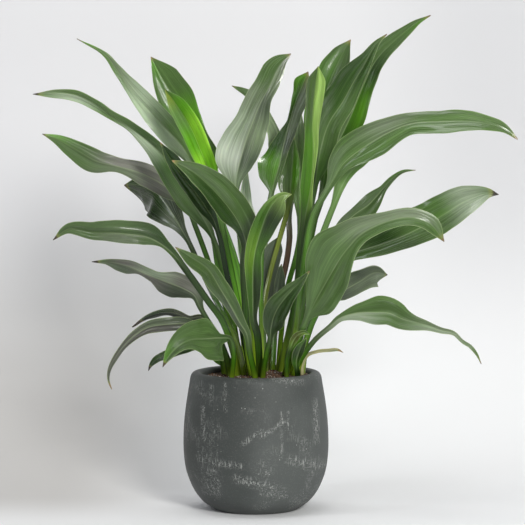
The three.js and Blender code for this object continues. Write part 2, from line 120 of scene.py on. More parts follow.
def newMaterial(name):
    # a material with its tree, its shader and the place of each point on its object
    material = bpy.data.materials.new(name)
    material.use_nodes = True
    tree = material.node_tree
    place = addNode(tree, "ShaderNodeTexCoord").outputs["Object"]
    return material, tree, tree.nodes["Principled BSDF"], place


def newMesh(name, points, faces, sharp=None):
    # a smooth mesh, with creases where its faces turn by more than sharp degrees
    mesh = bpy.data.meshes.new(name)
    mesh.from_pydata(points, [], faces)
    mesh.shade_smooth()
    if sharp:
        mesh.set_sharp_from_angle(angle=math.radians(sharp))
    return mesh


def ringFaces(rows, count):
    # quads between rings of points that follow one another
    return [(i + j, i + (j + 1) % count, i + count + (j + 1) % count, i + count + j)
            for i in range(0, (rows - 1) * count, count) for j in range(count)]


def directions(count):
    # the cosines and sines of even steps around the axis
    return [(math.cos(a), math.sin(a)) for a in [2 * math.pi * i / count for i in range(count)]]


def newObject(name, data):
    made = bpy.data.objects.new(name, data)
    bpy.context.scene.collection.objects.link(made)
    return made


def newPiece(name, mesh, material, slot, *nodes):
    # a finished piece that rides on the plant's one body and stands for CAD nodes
    piece = newObject(name, mesh)
    mesh.materials.append(material)
    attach(piece, "root")
    if nodes:
        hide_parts(*nodes)
    return piece


# Camera at the photograph's height and distance, and the studio around the plant

view = {"eye": (8.45, -3400, 584), "pitchDown": 4.44, "lens": 181.03}
studio = {"floor": "#F9FAFB", "wall": "#EAEAEC", "paintedShadeLeft": "#C6C4C1", "paintedShadeRight": "#C6C7CA",
          "floorFrom": -7000, "floorWidth": 14000, "wallFoot": 110, "bend": 620, "wallTop": 4500,
          "sky": "#F7F8FC", "world": 0.09,
          "lights": {
              "keyLight": dict(place=(1000, -2750, 1400), aim=(0, 0, 330), size=(0.75, 0.75), power=66,
                               colour="#FFFEFB"),
              "topLight": dict(place=(-100, -350, 2300), aim=(0, 0, 300), size=(1.4, 1.0), power=18,
                               colour="#FFFFFF"),
              "leftStrip": dict(place=(-1700, -900, 1400), aim=(0, 0, 350), size=(0.3, 1.2), power=6,
                                colour="#F6F9FF"),
          }}


def addCamera():
    data = bpy.data.cameras.new("camera")
    data.sensor_width = 36
    data.lens = view["lens"]
    data.clip_end = 50
    camera = newObject("camera", data)
    camera.location = [v * mm for v in view["eye"]]
    camera.rotation_euler = (math.radians(90 - view["pitchDown"]), 0, 0)
    bpy.context.scene.camera = camera


def addArea(name, light):
    data = bpy.data.lights.new(name, "AREA")
    data.shape = "RECTANGLE"
    data.size, data.size_y = light["size"]
    data.energy = light["power"]
    data.color = linearColour(light["colour"])[:3]
    lamp = newObject(name, data)
    lamp.location = Vector(light["place"]) * mm
    beam = Vector(light["aim"]) - Vector(light["place"])
    lamp.rotation_euler = beam.to_track_quat("-Z", "Y").to_euler()


def sweepMaterial():
    # matt paint, greyer up the wall, with painted shade at the right up the wall and low on the left
    material, tree, shader, place = newMaterial("studioSweep")
    across, away, height = addNode(tree, "ShaderNodeSeparateXYZ", {0: place}).outputs
    tint = mixOut(tree, rangeOut(tree, height, 0.0, 0.5), studio["floor"], studio["wall"])
    # painted shade: darker low on the left, on the wall and less so on the floor before it
    low = timesOut(tree, rangeOut(tree, height, 0.42, 0.02), rangeOut(tree, away, -0.14, 0.1, 0.3, 1.0))
    low = timesOut(tree, low, rangeOut(tree, across, -0.02, -0.28, 0.0, 0.9))
    tint = mixOut(tree, low, tint, studio["paintedShadeLeft"])
    # painted shade: darker at the right, higher up the wall, where the light falls off
    high = timesOut(tree, rangeOut(tree, height, 0.1, 0.4), rangeOut(tree, across, 0.1, 0.36, 0.0, 0.4))
    tint = mixOut(tree, high, tint, studio["paintedShadeRight"])
    # clear from behind, so that it hides nothing there
    behind = addNode(tree, "ShaderNodeNewGeometry").outputs["Backfacing"]
    setInputs(tree, shader, {"Base Color": tint, "Roughness": 0.9, "Specular IOR Level": 0.1,
                             "Alpha": mathOut(tree, "SUBTRACT", 1.0, behind)})
    return material


def addStudio():
    half, foot, bend = studio["floorWidth"] / 2, studio["wallFoot"], studio["bend"]
    profile = [(studio["floorFrom"], 0), (foot, 0)]
    profile += [(foot + bend * math.sin(a), bend - bend * math.cos(a))
                for a in [math.radians(d) for d in range(3, 91, 3)]]
    profile += [(foot + bend, studio["wallTop"])]
    points = [(x * mm, y * mm, z * mm) for y, z in profile for x in (-half, half)]
    faces = [(2 * i, 2 * i + 1, 2 * i + 3, 2 * i + 2) for i in range(len(profile) - 1)]
    mesh = newMesh("sweep", points, faces)
    mesh.materials.append(sweepMaterial())
    sweep = newObject("sweep", mesh)

    for name, light in studio["lights"].items():
        addArea(name, light)
    world = bpy.data.worlds.new("studioLight")
    world.use_nodes = True
    sky = {"Color": linearColour(studio["sky"]), "Strength": studio["world"]}
    setInputs(world.node_tree, world.node_tree.nodes["Background"], sky)
    bpy.context.scene.world = world
    bpy.context.scene.view_settings.view_transform = "Standard"


addCamera()
addStudio()
print("camera and studio")


# Leaves. Each run of midrib points is drawn as the camera sees it, on the plane through the planter's axis.
# left and right are seen half widths from stalk to tip, roll turns the blade about its midrib, and fold
# lifts its halves. tint is the colours of its left and its right half from stalk to tip, by the names in
# leafPalette; these hold painted light and shade besides the leaf's own colour, with darker names on a
# shaded half and lighter ones on a lit half. tone lightens or darkens them, and so also paints how lit
# each leaf is. dry is the share of the blade that has dried at its tip, and char how dark it is there.

leafForm = {"rootLevel": 174, "rootDepth": 11, "footSlant": 0.6, "depthReach": 1.8, "edge": 0.55,
            "midribTop": 0.2, "midribKeel": 0.9, "midribWidth": 1.5, "tip": 0.35, "blendBefore": 0.08,
            "blendAfter": 0.12, "stalkRings": 22, "bladeRings": 66, "across": 26, "sharp": 55,
            "pleatCount": 2.6, "pleatLength": 2.5, "ripple": 0.35, "rippleLength": 9, "eye": (8, -3400, 584),
            "leftWave": (3, 0), "rightWave": (2.7, 0.32), "stalkSidePaintedShade": 0.55}
leafMarks = ("across", "acrossMm", "margin", "share", "bladeShare", "stalk", "upper")
leafShader = {"veins": 11.0, "streaks": (13.0, 4.0), "broad": (2.2, 5.0), "vein": "#C3D6A2",
              "edge": "#B9CC8E", "fading": "#A3A04E", "dried": "#A58A62", "charred": "#1E1A16",
              "veinStrength": 0.22, "midribStrength": 0.42, "rimHighlightStrength": 0.4, "specular": 0.36,
              "coatRoughness": 0.12, "bump": 0.0008}
# silver and bloom are the wax's pale bloom with painted sheen and highlights on it
leafPalette = {
    "bottle": "#1F4209", "deep": "#2F4E17", "leaf": "#506D37", "moss": "#527534", "fresh": "#528A17",
    "lime": "#88BC32", "pale": "#ABD46C", "olive": "#6A7A26", "slate": "#505D48", "grey": "#6F7F60",
    "taupe": "#717268", "silver": "#93A387", "bloom": "#C3CEBA", "foot": "#9CBC2C", "straw": "#B7B184",
    "red": "#75594A",
}
leafKinds = {
    "waxy": dict(slot="leaf", rough=0.28, coat=0.26, under=0.5),
    "gloss": dict(slot="leaf", rough=0.2, coat=0.6, under=0.5),
    "soft": dict(slot="young_leaf", rough=0.4, coat=0.12, under=0.25),
    "under": dict(slot="leaf_underside", rough=0.36, coat=0.12, under=0.0),
    "dry": dict(slot="dry_leaf", rough=0.6, coat=0.0, under=0.0),
}
leafDefaults = dict(stalk=3.4, kind="waxy", tint=("leaf leaf leaf", "leaf leaf leaf"),
                    stalkTint="foot fresh leaf", tone=1.0, curl=0.25, pleat=2.4, dry=0.02, char=0.5)
leaves = {
    "leaf_01": dict(root=(-6, 40), stalk=4.6, blade=0.55, fold=18, wave=1.5,
        left=[17, 16, 10, 6, 3], right=[14, 18, 16, 9, 3], roll=[10, 20, 20],
        run=[(-19, 260, 44), (-32, 330, 48), (-61, 400, 52), (-90, 463, 56), (-112, 489, 58),
             (-135, 514, 60), (-152, 532, 62), (-168, 553, 64), (-180, 570, 65), (-194, 588, 66),
             (-230, 608, 66)],
        tint=("grey silver silver leaf leaf", "leaf leaf silver grey fresh"), tone=1.38, dry=0.03),
    "leaf_02": dict(root=(-2, 52), blade=0.58, fold=14, wave=1.5,
        left=[16, 25, 27, 24, 14], right=[18, 13, 18, 26, 23], roll=[0, 10, 10],
        run=[(-8, 250, 58), (-28, 330, 64), (-43, 372, 68), (-54, 410, 73), (-64, 460, 76), (-80, 494, 80),
             (-99, 525, 82), (-116, 550, 83), (-135, 585, 84)],
        tint=("fresh fresh fresh leaf fresh", "leaf leaf fresh leaf leaf"), tone=1.12, char=0.2),
    "leaf_03": dict(root=(-12, 24), blade=0.6, fold=48, wave=0,
        left=[15, 19, 21, 21, 17], roll=[0, 0, 0],
        run=[(-22, 260, 22), (-38, 340, 20), (-50, 400, 18), (-62, 443, 16), (-73, 469, 16), (-82, 490, 17),
             (-92, 508, 18), (-103, 525, 20), (-117, 543, 22)],
        kind="soft", tint=("lime lime fresh leaf olive", "lime lime lime lime fresh leaf"), tone=1.45,
        dry=0.0),
    "leaf_04": dict(root=(-18, 8), blade=0.38, fold=16, wave=1.5,
        left=[14, 20, 20, 16, 9, 5, 6, 8, 8], right=[12, 12, 8, 7, 6], roll=[45, 40, 45, 20],
        run=[(-34, 269, 4), (-56, 353.5, 0), (-94, 417.5, -4), (-121, 459.5, -8), (-138, 475.5, -10),
             (-164, 495, -12), (-190, 512, -14), (-205, 523, -16), (-229, 535, -17), (-255, 539, -18),
             (-287, 537, -20)],
        tint=("deep leaf deep silver leaf silver leaf", "leaf grey leaf deep leaf leaf grey"), tone=1.2,
        dry=0.025, char=0.9),
    "leaf_05": dict(root=(-6, -13), stalk=4.6, blade=0.44, fold=14, wave=1,
        left=[6, 8, 17, 15, 11], right=[14, 23, 25, 22, 14], roll=[-20, -30, -30],
        run=[(-12, 225, -20), (-14, 271, -26), (-16, 320, -36), (-13, 343, -42), (-23, 372, -52),
             (-49, 408, -62), (-80, 436, -70), (-108, 452, -74)],
        tint=("leaf deep deep leaf", "leaf leaf leaf leaf"), tone=0.74, char=0.0),
    "leaf_06": dict(root=(-20, 18), blade=0.52, fold=-14, wave=1.5,
        left=[15, 15, 8, 18, 12], right=[16, 16, 12, 15, 10], roll=[0, 10, 0],
        run=[(-38, 258, 22), (-55, 304, 24), (-79, 369, 24), (-90, 395, 24), (-116, 418, 24),
             (-150, 436, 24), (-186, 446, 22), (-205, 451, 20), (-232, 466, 18), (-255, 479, 16),
             (-275, 486, 14)],
        kind="under", tint=("slate taupe grey leaf leaf", "slate taupe taupe leaf fresh"), tone=0.92,
        char=0.7),
    "leaf_07": dict(root=(-15, -4), blade=0.62, fold=-10, wave=1,
        left=[7, 12, 19, 25, 30, 32, 34, 33, 20], right=[8, 15, 26, 20, 11], roll=[15, 25, 25],
        run=[(-22, 209, -4), (-36, 242, -4), (-52, 271, 8), (-66, 300, 32), (-86, 345, 44), (-96, 363, 48),
             (-105, 379, 52), (-118, 398, 58), (-131, 413, 64), (-150, 420, 72), (-170, 420, 80)],
        kind="gloss", slot="leaf_underside",
        tint=("slate silver deep deep deep", "taupe slate slate deep leaf"), tone=0.52, dry=0.03, char=0.8),
    "leaf_08": dict(root=(-25, -6), stalk=4.2, blade=0.53, fold=10, wave=2,
        left=[3, 11, 12, 10, 7], right=[9, 18, 17, 15, 9], roll=[0, 20, 0],
        run=[(-30, 206, -22), (-44, 245, -32), (-62, 270, -38), (-86, 304, -44), (-109, 333, -52),
             (-138, 352, -58), (-170, 357, -62), (-209, 359, -64), (-242, 363, -66), (-262, 349, -66)],
        tint=("leaf leaf grey leaf leaf", "deep deep leaf leaf leaf"), tone=0.68, dry=0.04, char=0.9),
    "leaf_09": dict(root=(-1, -29), stalk=3.8, blade=0.27, fold=12, wave=1,
        left=[5, 6, 9, 13, 12], right=[7, 11, 13, 11, 7], roll=[-20, -30, -30],
        run=[(-8, 203, -40), (-12, 227, -48), (-21, 242, -54), (-34, 265, -62), (-47, 287, -70),
             (-62, 311, -76), (-86, 328, -82), (-104, 340, -84)],
        tint=("leaf slate leaf leaf", "leaf leaf leaf leaf"), tone=0.67),
    "leaf_10": dict(root=(-35, 9), blade=0.38, fold=-12, wave=1.5,
        left=[4, 11, 17, 15, 7, 5, 10, 9, 3], right=[16, 18, 8, 9, 5], roll=[15, 25, 25],
        run=[(-43.5, 205, 10), (-52, 228, 10), (-64, 247.5, 8), (-73, 263.5, 6), (-80, 277.5, 4),
             (-94, 286, 2), (-117, 295, -2), (-142, 305, -6), (-165, 315, -10), (-187, 320, -12),
             (-212, 321, -14)],
        kind="under", tint=("slate slate taupe slate grey", "slate taupe silver taupe leaf"), tone=0.9,
        dry=0.05, char=0.9),
    "leaf_11": dict(root=(-30, 26), blade=0.4, fold=8, wave=0.5,
        left=[5.5, 6.5, 6.5, 5.5, 3.6], right=[3, 4, 4, 3, 2], roll=[60, 62, 64],
        run=[(-40, 204, 30), (-49, 225, 34), (-70, 249, 40), (-86, 248, 44), (-112, 256, 48),
             (-138, 251, 50), (-160, 236, 52)],
        tint=("bottle deep bottle bottle", "bottle olive fresh deep"), tone=0.22, dry=0.12, char=0.9),
    "leaf_12": dict(root=(-34, -2), blade=0.35, fold=-10, wave=0.5,
        left=[9, 9, 6, 4, 2.5], roll=[20, 30, 20],
        run=[(-42, 205, -4), (-56, 226, -8), (-82, 240, -12), (-109, 240, -16), (-138, 236, -18),
             (-153, 228, -20), (-170, 213, -22), (-183, 195, -24), (-190, 180, -25), (-191, 167, -26),
             (-187, 155, -27)],
        kind="under", tint=("slate taupe taupe slate", "slate grey taupe taupe"), tone=0.52, pleat=3.6,
        dry=0.05, char=0.3),
    "leaf_13": dict(root=(-31, -18), blade=0.36, fold=10, wave=1,
        left=[8, 30, 27, 12, 6], right=[6, 26, 24, 16, 8], roll=[-25, -35, -35],
        run=[(-29, 203, -30), (-33, 220, -36), (-46, 222, -44), (-66, 221, -56), (-86, 219, -64),
             (-101, 211, -70), (-113, 198, -74), (-121, 184, -76)],
        tint=("deep leaf leaf leaf", "deep leaf leaf fresh"), tone=0.8, dry=0.05, char=0.8),
    "leaf_14": dict(root=(-42, 26), blade=0.4, fold=8, wave=0.5,
        left=[5, 7, 7, 5.5, 4], roll=[-20, -25, -25],
        run=[(-48, 204, 26), (-73, 211, 22), (-99, 207, 16), (-118, 199, 12), (-129, 194, 10),
             (-136, 187, 9), (-139.5, 179, 8)],
        tint=("deep deep bottle", "deep leaf bottle"), tone=0.85, dry=0.07, char=0.9),
    "leaf_15": dict(root=(-33, 38), blade=0.2, fold=8, wave=0.5,
        left=[8, 10, 11, 11, 8], right=[6, 7, 7, 7, 6], roll=[-15, -20, -20],
        run=[(-37, 190, 40), (-48, 200, 42), (-60, 206, 44)],
        tint=("fresh fresh lime", "deep leaf fresh"), tone=0.9),
    "leaf_16": dict(root=(2, 18), stalk=4.4, blade=0.57, fold=18, wave=1,
        left=[36, 31, 22, 21, 20], right=[20, 24, 22, 11, 11], roll=[-15, -22, -22],
        run=[(-10, 284, 8), (-21, 362, 2), (-26, 422, 0), (-22, 447, 0), (-14, 476, 0), (-5, 501, 0),
             (5, 525, 0), (18, 549, 2), (31, 575, 4), (45, 589, 6)],
        kind="gloss", tint=("silver bloom silver grey leaf leaf", "silver slate grey slate grey slate"),
        pleat=4),
    "leaf_17": dict(root=(6, 47), blade=0.62, fold=12, wave=1,
        left=[8, 14, 13, 9, 3], right=[5, 4, 3, 6, 9], roll=[-20, -25, -25],
        run=[(8, 271, 56), (16, 388, 64), (26, 440, 68), (29, 466, 70), (27, 490, 72), (14, 512, 76),
             (-4, 530, 79), (-20, 541, 81), (-31, 548, 82)],
        tint=("leaf grey leaf", "leaf grey leaf"), stalkTint="deep deep leaf", tone=1.2),
    "leaf_18": dict(root=(8, 6), blade=0.6, fold=16, wave=1,
        left=[32, 32, 22, 16, 9, 4, 5, 8, 13], right=[6, 8, 12, 14, 17], roll=[12, 20, 20],
        run=[(8, 336, 19), (16, 390, 23), (22, 417, 25), (30, 446, 26), (39, 486, 27), (50, 524, 27),
             (60, 549, 26), (67, 566, 25)],
        kind="gloss", tint=("fresh fresh bottle deep fresh fresh", "leaf leaf slate grey grey olive"),
        tone=0.8),
    "leaf_19": dict(root=(32, 18), stalk=5.4, blade=0.5, fold=38, wave=0,
        left=[10, 15, 18, 17, 15, 13, 12, 14, 15], right=[8, 5, 3, 5, 8, 10, 13, 15, 15], roll=[0, 0, 0],
        run=[(52, 271, 14), (61, 362, 9), (68, 401, 6), (72, 427, 4), (74, 466, 2), (73, 496, 2),
             (74, 520, 3), (77, 546, 4), (80, 573, 5)],
        kind="soft", tint=("deep fresh fresh leaf leaf", "fresh pale pale pale pale"), tone=0.7, dry=0.0),
    "leaf_20": dict(root=(41, 43), blade=0.55, fold=14, wave=1,
        left=[10, 14, 17, 20, 23, 23, 23, 22, 15], right=[10, 14, 16, 17, 15], roll=[18, 25, 25],
        run=[(56, 290, 62), (73, 401, 76), (81, 499, 88), (90, 538, 92), (102, 568, 94), (112, 590, 96),
             (121.5, 607, 98)],
        tint=("leaf fresh leaf", "leaf leaf leaf"), stalkTint="deep bottle leaf", tone=0.8, char=0.2),
    "leaf_21": dict(root=(41, 28), stalk=4.6, blade=0.54, fold=16, wave=1,
        left=[14, 24, 28, 24, 9], right=[20, 19, 16, 12, 7], roll=[18, 25, 25],
        run=[(57, 310, 34), (68, 381, 36), (77, 427, 38), (83, 464, 38), (93, 498, 38), (112, 527, 38),
             (125, 551, 37), (138, 573, 36), (155, 602, 34), (168, 614, 32)],
        tint=("deep leaf deep deep leaf", "fresh leaf leaf deep leaf"), tone=0.92, pleat=4),
    "leaf_22": dict(root=(30, 37), stalk=4.6, blade=0.5, fold=16, wave=1.5,
        left=[16, 18, 20, 16, 9], right=[18, 20, 14, 12, 8], roll=[18, 25, 25],
        run=[(58, 284, 50), (72.5, 362, 56), (76.5, 380, 57), (84.5, 403, 58), (88, 430, 60), (95, 456, 62),
             (108, 479, 62), (122, 508, 62), (130, 528, 62), (140, 552, 61), (150, 573, 60), (161, 588, 58),
             (178, 605, 56), (194, 619, 54), (207, 629, 52), (224, 638, 49)],
        tint=("fresh leaf leaf leaf leaf", "fresh deep fresh deep leaf fresh"), tone=0.82, pleat=3.2),
    "leaf_23": dict(root=(45, 4), stalk=4.4, blade=0.48, fold=12, wave=2,
        left=[20, 27, 25, 19, 15, 15, 14.5, 12, 9], right=[13, 22, 13.5, 16, 9], roll=[20, 30, 30],
        run=[(63, 323, -6), (74, 382, -8), (86, 404, -9), (100, 427, -10), (112, 447, -12), (135, 466, -15),
             (168, 486, -20), (200, 499, -24), (239, 502, -28), (278, 502, -31), (317, 493, -33),
             (337, 479, -33)],
        kind="gloss", tint=("leaf leaf grey leaf leaf leaf", "leaf leaf leaf leaf leaf leaf"), tone=1.06,
        char=0.4),
    "leaf_24": dict(root=(51, 19), stalk=4, blade=0.64, fold=12, wave=1,
        left=[10, 14, 15, 12, 7], right=[4, 6, 7, 6, 5], roll=[20, 28, 28],
        run=[(66, 300, 20), (74, 323, 20), (78, 336, 21), (86, 357, 22), (94, 378, 22), (107.5, 411, 22),
             (116, 429, 22), (127, 443, 20), (147, 459, 18), (168, 472, 16), (188, 481, 14)],
        tint=("leaf leaf", "leaf leaf"), stalkTint="fresh leaf leaf", tone=1.65),
    "leaf_25": dict(root=(61, 20), blade=0.55, fold=12, wave=0.5,
        left=[8, 9, 12, 5, 3], right=[24, 22, 13, 5, 3], roll=[18, 25, 25],
        run=[(73, 272, 34), (90, 324, 38), (108, 363.5, 42), (128, 382.5, 44), (145, 394.5, 45),
             (159, 409.5, 46), (176, 428.5, 47), (189, 437.5, 47), (206, 439.5, 48)],
        tint=("leaf leaf leaf fresh", "deep leaf leaf leaf"), tone=0.65),
    "leaf_26": dict(root=(52, -2), stalk=4, blade=0.4, fold=12, wave=1.5,
        left=[12, 22, 30, 27, 20], right=[10, 15, 18, 22, 17], roll=[20, 32, 32],
        run=[(72, 240, -6), (78, 253, -7), (83, 268, -8), (88, 284, -10), (103, 318, -16), (129, 333, -22),
             (161, 343, -28), (194, 356, -34), (226, 372, -38), (246, 384, -40), (272, 400, -42),
             (298, 409, -43), (313, 408, -44)],
        kind="gloss", tint=("leaf leaf deep leaf moss silver leaf", "deep moss leaf leaf leaf silver leaf"),
        tone=0.84, dry=0.035, char=0.95),
    "leaf_27": dict(root=(37, -17), stalk=4.2, blade=0.29, fold=12, wave=1,
        left=[12, 24, 39, 43, 31, 20, 13, 12.5, 12], right=[26, 27, 27, 20, 11, 10, 10, 9.5, 9],
        roll=[15, 22, 22],
        run=[(61, 235, -40), (69, 254, -48), (78, 272, -56), (87, 288, -62), (98, 307, -70),
             (111, 328, -78), (121, 341, -82), (133, 354, -86), (151, 365, -90), (174, 374, -92),
             (200, 378, -93), (224, 370, -93), (243, 347, -91)],
        tint=("leaf leaf leaf grey grey leaf", "leaf leaf leaf leaf leaf leaf"), pleat=3.2),
    "leaf_28": dict(root=(57, 11), blade=0.5, fold=-12, wave=1.5,
        left=[10, 14, 15, 14, 10], right=[3, 11, 14, 14, 19], roll=[-15, -25, -25],
        run=[(69, 233, 8), (75, 249, 6), (85, 266, 4), (99, 274, 2), (116, 285, 1), (135, 296, 0),
             (155, 307, 0), (170, 304, 0)],
        kind="under", tint=("slate grey slate grey", "slate slate grey silver"), tone=0.7, char=0.9),
    "leaf_29": dict(root=(47, -10), blade=0.24, fold=12, wave=0.5,
        left=[3, 5, 13, 22, 18, 8, 4, 2.5, 2], right=[4, 5, 10, 15.5, 14, 10, 5, 2.5, 2.5],
        roll=[20, 30, 30],
        run=[(60, 197, -18), (76, 219, -28), (97, 238, -38), (109, 248, -42), (129, 254, -46),
             (151, 255, -50), (172, 254, -54), (191, 246, -57), (220, 239, -60), (240, 232, -62),
             (256, 228, -63), (267, 218, -64), (278, 211, -65), (286, 201, -65.5), (292, 188, -66)],
        tint=("slate leaf leaf grey leaf", "grey silver leaf silver leaf"), tone=0.88),
    "leaf_30": dict(root=(60, 1), stalk=2.2, blade=0.2, fold=20, wave=0,
        left=[2.4, 2.4, 2.4, 2.4, 2.4], roll=[0, 0, 0],
        run=[(61, 189.5, 3), (67, 199.5, 2), (80, 204.5, -2), (95, 206, -6), (106, 206.5, -8),
             (113, 203, -8)],
        kind="dry", tint=("straw straw straw", "straw straw grey"), stalkTint="olive straw", dry=0.1,
        char=0.1),
    "leaf_31": dict(root=(5, -18), stalk=4.6, blade=0.34, fold=22, wave=0.5,
        left=[7, 10, 13, 14, 10], right=[10, 12, 10, 17, 21], roll=[-10, -15, -20],
        run=[(2, 225, -34), (-3, 245, -40), (-4, 271, -48), (-4, 297, -56), (-3, 321, -62), (1, 343, -67),
             (7, 363, -71), (14, 382, -74), (23, 397, -76), (34, 407, -76), (46, 408, -75)],
        kind="soft", tint=("fresh fresh lime fresh pale", "deep deep fresh deep pale"), tone=0.44, dry=0.0),
    "leaf_32": dict(root=(9, -28), blade=0.42, fold=14, wave=1,
        left=[11, 16, 15, 11, 6], roll=[20, 30, 30],
        run=[(14, 203, -42), (18, 219, -50), (20, 237, -58), (27, 258, -66), (38, 274, -70), (53, 290, -74),
             (69, 309, -76)],
        tint=("bottle deep leaf deep", "bottle deep deep leaf"), stalkTint="foot fresh leaf", tone=0.62),
    "leaf_33": dict(root=(12, 34), blade=0.4, fold=-10, wave=0.5,
        left=[8, 11, 14, 16, 14], right=[8, 10, 9, 10, 10], roll=[-10, -15, -15],
        run=[(10, 245, 40), (14, 284, 42), (20, 315, 43), (26, 340, 44), (30, 354, 45)],
        kind="under", tint=("slate slate slate", "slate slate slate"), tone=0.8),
    "leaf_34": dict(root=(22, 43), blade=0.4, fold=-10, wave=0.5,
        left=[7, 10, 12, 11, 7], roll=[10, 15, 15],
        run=[(24, 225, 50), (23, 262, 54), (28, 290, 58), (33, 318, 60)],
        kind="under", tint=("slate slate slate", "slate slate slate"), tone=1.25),
    "leaf_35": dict(root=(-8, 13), blade=0.6, fold=30, wave=0.5,
        left=[9, 12, 12, 11, 8], right=[8, 12, 14, 14, 11], roll=[20, 20, 20],
        run=[(-20, 240, 4), (-34, 289, 0), (-41, 322, -8), (-46, 349, -14), (-55, 376, -22),
             (-64, 390, -26), (-76, 408, -32), (-91, 427, -36), (-105, 447, -40), (-123, 475, -44)],
        tint=("bottle deep bottle", "bottle bottle bottle"), stalkTint="deep bottle bottle", tone=0.8,
        char=0.0),
    "leaf_36": dict(root=(14, 20), blade=0.71, fold=14, wave=0.5,
        left=[14, 18, 16, 13, 9], right=[6, 9, 10, 9, 5], roll=[10, 15, 15],
        run=[(8, 212, 22), (9, 252, 26), (18, 304, 32), (30, 349, 36), (43, 397, 38), (45, 420, 40),
             (47, 445, 42), (49, 482, 44)],
        tint=("leaf leaf deep", "leaf fresh leaf"), stalkTint="olive olive olive", tone=1.15),
    "leaf_37": dict(root=(29, 50), blade=0.6, fold=14, wave=1,
        left=[9, 13, 13, 10, 6], roll=[-12, -18, -18],
        run=[(37.5, 271, 62), (43.1, 297, 64), (47, 310, 65), (53.5, 336, 67), (56.5, 356, 68),
             (55.5, 395, 72), (56, 420, 74), (57, 447, 76), (57, 479, 78), (57, 518, 80)],
        tint=("leaf leaf grey", "fresh leaf grey"), tone=1.4),
    "leaf_38": dict(root=(54, -29), blade=0.35, fold=20, wave=0,
        left=[6, 7, 8, 7, 4], right=[4, 5, 6, 6, 4], roll=[0, 0, 0],
        run=[(52.5, 192, -35), (57.5, 208, -40), (65.5, 222, -43)],
        tint=("fresh deep fresh", "fresh deep deep"), stalkTint="deep bottle deep", tone=0.56),
    "leaf_39": dict(root=(-14, 60), blade=0.5, fold=14, wave=1.5,
        left=[10, 12, 12, 10, 6], right=[12, 16, 15, 8, 5], roll=[-15, -20, -20],
        run=[(-17, 240, 82), (-14, 300, 88), (-13, 350, 92), (-13, 400, 95), (-12, 445, 97)],
        tint=("silver bloom silver", "silver bloom silver"), tone=1.35),
    "leaf_40": dict(root=(18, 56), stalk=3.9, blade=0.66, fold=14, wave=1.5,
        left=[8, 12, 12, 10, 6], roll=[15, 20, 20],
        run=[(31.5, 280, 76), (34, 297, 80), (37.5, 311, 82), (41, 330, 84), (43.5, 354, 88),
             (42.5, 381, 92), (50, 420, 98), (62, 460, 106), (80, 500, 114)],
        tint=("grey silver silver", "grey silver silver"), stalkTint="olive red red slate", tone=1.6),
    "leaf_41": dict(root=(51, 34), blade=0.5, fold=14, wave=1.5,
        left=[12, 18, 20, 17, 10], roll=[20, 28, 28],
        run=[(70, 270, 60), (100, 320, 82), (135, 345, 100), (180, 350, 118)]),
    "leaf_42": dict(root=(-22, 46), blade=0.66, fold=14, wave=1.5,
        left=[8, 12, 13, 11, 7], roll=[-18, -25, -25],
        run=[(-40, 280, 60), (-50, 318, 66), (-54, 345, 72), (-62, 372, 82), (-88, 405, 94),
             (-125, 425, 106), (-158, 435, 115)]),
    "leaf_43": dict(root=(40, -30), stalk=3, blade=0.6, fold=20, wave=0,
        left=[4, 5, 5, 4, 3], roll=[0, 0, 0],
        run=[(40.5, 196, -36), (45.5, 212, -42), (53.5, 225, -46), (61.5, 229, -47), (69.5, 227, -47)],
        kind="soft", tint=("lime olive fresh", "lime olive lime"), tone=0.46),
}


def splinePoint(points, t):
    # centripetal Catmull-Rom through the points, with t from 0 to 1 over all of them
    place = (len(points) - 1) * t
    i = min(int(place), len(points) - 2)
    w = place - i
    b, c = points[i], points[i + 1]
    a = points[i - 1] if i > 0 else b * 2 - c
    d = points[i + 2] if i + 2 < len(points) else c * 2 - b
    before, within, after = [max((q - p).length, 1e-6) ** 0.5 for p, q in ((a, b), (b, c), (c, d))]
    m = ((b - a) / before - (c - a) / (before + within) + (c - b) / within) * within
    n = ((c - b) / within - (d - b) / (within + after) + (d - c) / after) * within
    return b + (m + ((c - b) * 3 - m * 2 - n + ((b - c) * 2 + m + n) * w) * w) * w


def along(values, share):
    return splinePoint([Vector((i, v, 0)) for i, v in enumerate(values)], min(max(share, 0), 1)).y


def fromFront(seenX, seenZ, depth):
    eye = Vector(leafForm["eye"])
    return eye + (Vector((seenX, 0, seenZ)) - eye) * (1 + depth / -eye.y)


def leafRoute(leaf):
    # the midrib's points: the foot in the soil, the collar at its surface, and the run at its depths
    x, y = leaf["root"]
    collar = Vector((x, y, leafForm["rootLevel"]))
    above = [fromFront(u, v, mix(y, depth, leafForm["depthReach"])) for u, v, depth in leaf["run"]]
    rise = above[0] - collar
    slant = leafForm["footSlant"]
    foot = collar + Vector((-rise.x * slant, -rise.y * slant, -rise.z)) * (leafForm["rootDepth"] / rise.z)
    return [foot, collar] + above


def evenPlaces(route, shares, steps=200):
    # where the shares of the route's length lie along its spline, and that length
    marks = [splinePoint(route, i / steps) for i in range(steps + 1)]
    lengths = [0.0]
    for p, q in zip(marks, marks[1:]):
        lengths.append(lengths[-1] + (q - p).length)
    places, i = [], 0
    for share in shares:
        wanted = share * lengths[-1]
        while i < steps - 1 and lengths[i + 1] < wanted:
            i += 1
        places.append((i + (wanted - lengths[i]) / (lengths[i + 1] - lengths[i])) / steps)
    return places, lengths[-1]


def paletteAlong(names, share):
    colours = [linearColour(leafPalette[name]) for name in names.split()]
    place = min(max(share, 0), 1) * (len(colours) - 1)
    i = min(int(place), max(len(colours) - 2, 0))
    w = smoothStep(place - i, 0, 1)
    return [mix(a, b, w) for a, b in zip(colours[i], colours[min(i + 1, len(colours) - 1)])]


